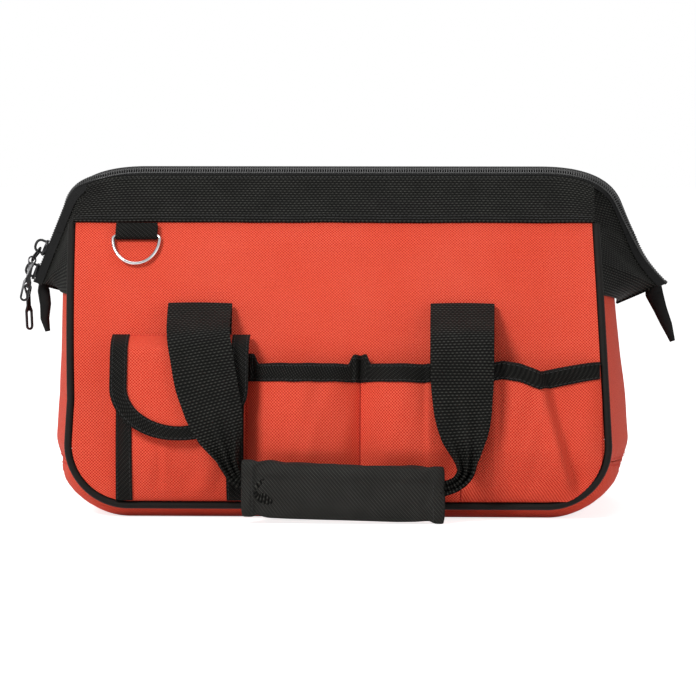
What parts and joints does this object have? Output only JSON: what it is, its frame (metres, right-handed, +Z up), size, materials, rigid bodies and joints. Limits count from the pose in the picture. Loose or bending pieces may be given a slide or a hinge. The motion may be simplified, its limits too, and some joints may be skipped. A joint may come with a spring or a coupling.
{
  "type": "zippered tool bag",
  "caption": "Soft wide-mouth tool bag with a hinged wire mouth frame, coil zipper with sliders, outside pockets, a flap pocket, D-rings and two carrying handles.",
  "frame": {"origin": "middle of the flat base, on the surface that the bag stands on", "axes": "+X to the right along the mouth seen from the front, +Z up, the front pockets face -Y"},
  "size_m": [0.3869, 0.2288, 0.2072],
  "materials": {
    "cloth_red": "woven polyester, slightly glossy",
    "webbing_black": "woven webbing, matt",
    "piping_black": "corded piping",
    "zipper_black": "nylon coil zipper and tape",
    "frame_steel": "zinc-plated wire",
    "ring_chrome": "nickel plated",
    "slider_metal": "black enamel, worn at the pull",
    "board": "matt"
  },
  "bodies": {
    "bag": {"front_panel": "cloth_red", "back_panel": "cloth_red", "left_gusset": "cloth_red", "right_gusset": "cloth_red", "base_panel": "cloth_red", "base_board": "board", "front_piping": "piping_black", "back_piping": "piping_black", "front_left_ear": "webbing_black", "front_right_ear": "webbing_black", "back_left_ear": "webbing_black", "back_right_ear": "webbing_black", "left_frame_rivet": "frame_steel", "right_frame_rivet": "frame_steel", "left_zip_end": "zipper_black", "right_zip_end": "zipper_black", "left_zip_tail": "zipper_black", "right_zip_tail": "zipper_black", "front_flap_pocket": "cloth_red", "front_pocket_centre_left": "cloth_red", "front_pocket_centre_right": "cloth_red", "front_pocket_end": "cloth_red", "back_pocket_left": "cloth_red", "back_pocket_middle": "cloth_red", "back_pocket_right": "cloth_red", "front_pocket_binding": "webbing_black", "back_pocket_binding": "webbing_black", "flap_pocket_left_binding": "webbing_black", "flap_pocket_right_binding": "webbing_black", "front_left_anchor": "webbing_black", "front_right_anchor": "webbing_black", "back_left_anchor": "webbing_black", "back_right_anchor": "webbing_black"},
    "front_mouth": {"front_mouth_band": "webbing_black", "front_frame_wire": "frame_steel", "front_zip_tape": "zipper_black", "front_zip_coil": "zipper_black", "front_ring_tab": "webbing_black"},
    "back_mouth": {"back_mouth_band": "webbing_black", "back_frame_wire": "frame_steel", "back_zip_tape": "zipper_black", "back_zip_coil": "zipper_black", "back_ring_tab": "webbing_black"},
    "front_ring": {"front_d_ring": "ring_chrome"},
    "back_ring": {"back_d_ring": "ring_chrome"},
    "flap": {"pocket_flap": "cloth_red", "flap_binding": "webbing_black"},
    "front_handle": {"front_handle_webbing": "webbing_black", "front_grip_wrap": "webbing_black"},
    "back_handle": {"back_handle_webbing": "webbing_black"},
    "upper_slider_body": {"upper_slider": "slider_metal"},
    "upper_link_body": {"upper_pull_link": "slider_metal"},
    "upper_pull_body": {"upper_pull_tab": "slider_metal"},
    "lower_slider_body": {"lower_slider": "slider_metal"},
    "lower_link_body": {"lower_pull_link": "slider_metal"},
    "lower_pull_body": {"lower_pull_tab": "slider_metal"}
  },
  "joints": [
    {"name": "front_mouth_swing", "type": "hinge", "parent": "bag", "child": "front_mouth", "pos_m": [0, 0, 0.146], "axis": [1, 0, 0], "range_deg": [0, 45], "deforming": ["front_panel", "front_piping", "front_left_ear", "front_right_ear"]},
    {"name": "back_mouth_swing", "type": "hinge", "parent": "bag", "child": "back_mouth", "pos_m": [0, 0, 0.146], "axis": [-1, 0, 0], "range_deg": [0, 45], "deforming": ["back_panel", "back_piping", "back_left_ear", "back_right_ear"]},
    {"name": "front_ring_swing", "type": "hinge", "parent": "front_mouth", "child": "front_ring", "pos_m": [-0.1225, -0.04423, 0.16664], "axis": [-1, 0, 0], "range_deg": [0, 150]},
    {"name": "back_ring_swing", "type": "hinge", "parent": "back_mouth", "child": "back_ring", "pos_m": [0.1225, 0.04423, 0.16664], "axis": [1, 0, 0], "range_deg": [0, 150]},
    {"name": "front_handle_lift", "type": "hinge", "parent": "bag", "child": "front_handle", "pos_m": [-0.0045, -0.06733, 0.12616], "axis": [-1, 0, 0], "range_deg": [0, 150]},
    {"name": "back_handle_lift", "type": "hinge", "parent": "bag", "child": "back_handle", "pos_m": [-0.0045, 0.06733, 0.12616], "axis": [1, 0, 0], "range_deg": [0, 150]},
    {"name": "flap_lift", "type": "hinge", "parent": "bag", "child": "flap", "pos_m": [-0.09425, -0.07453, 0.10825], "axis": [-1, 0, 0], "range_deg": [0, 90]},
    {"name": "upper_slider_travel", "type": "slide", "parent": "bag", "child": "upper_slider_body", "axis": [0.3746, 0, 0.9272], "range_m": [0, 0.007]},
    {"name": "upper_link_swing", "type": "hinge", "parent": "upper_slider_body", "child": "upper_link_body", "pos_m": [-0.18652, 0, 0.15412], "axis": [-0.9272, 0, 0.3746], "range_deg": [0, 50]},
    {"name": "upper_pull_swing", "type": "hinge", "parent": "upper_link_body", "child": "upper_pull_body", "pos_m": [-0.18982, -0.00495, 0.14946], "axis": [-0.0472, 0.9707, -0.2358], "range_deg": [0, 40]},
    {"name": "lower_slider_travel", "type": "slide", "parent": "bag", "child": "lower_slider_body", "axis": [0.3746, 0, 0.9272], "range_m": [0, 0.0015]},
    {"name": "lower_link_swing", "type": "hinge", "parent": "lower_slider_body", "child": "lower_link_body", "pos_m": [-0.19229, 0, 0.13984], "axis": [-0.9272, 0, 0.3746], "range_deg": [-40, 0]},
    {"name": "lower_pull_swing", "type": "hinge", "parent": "lower_link_body", "child": "lower_pull_body", "pos_m": [-0.19319, 0, 0.13234], "axis": [-0.7063, 0.7074, -0.0282], "range_deg": [0, 30]}
  ],
  "couplings": [
    {"joint": "flap_lift", "follows": "front_handle_lift", "ratio": 0.6}
  ]
}
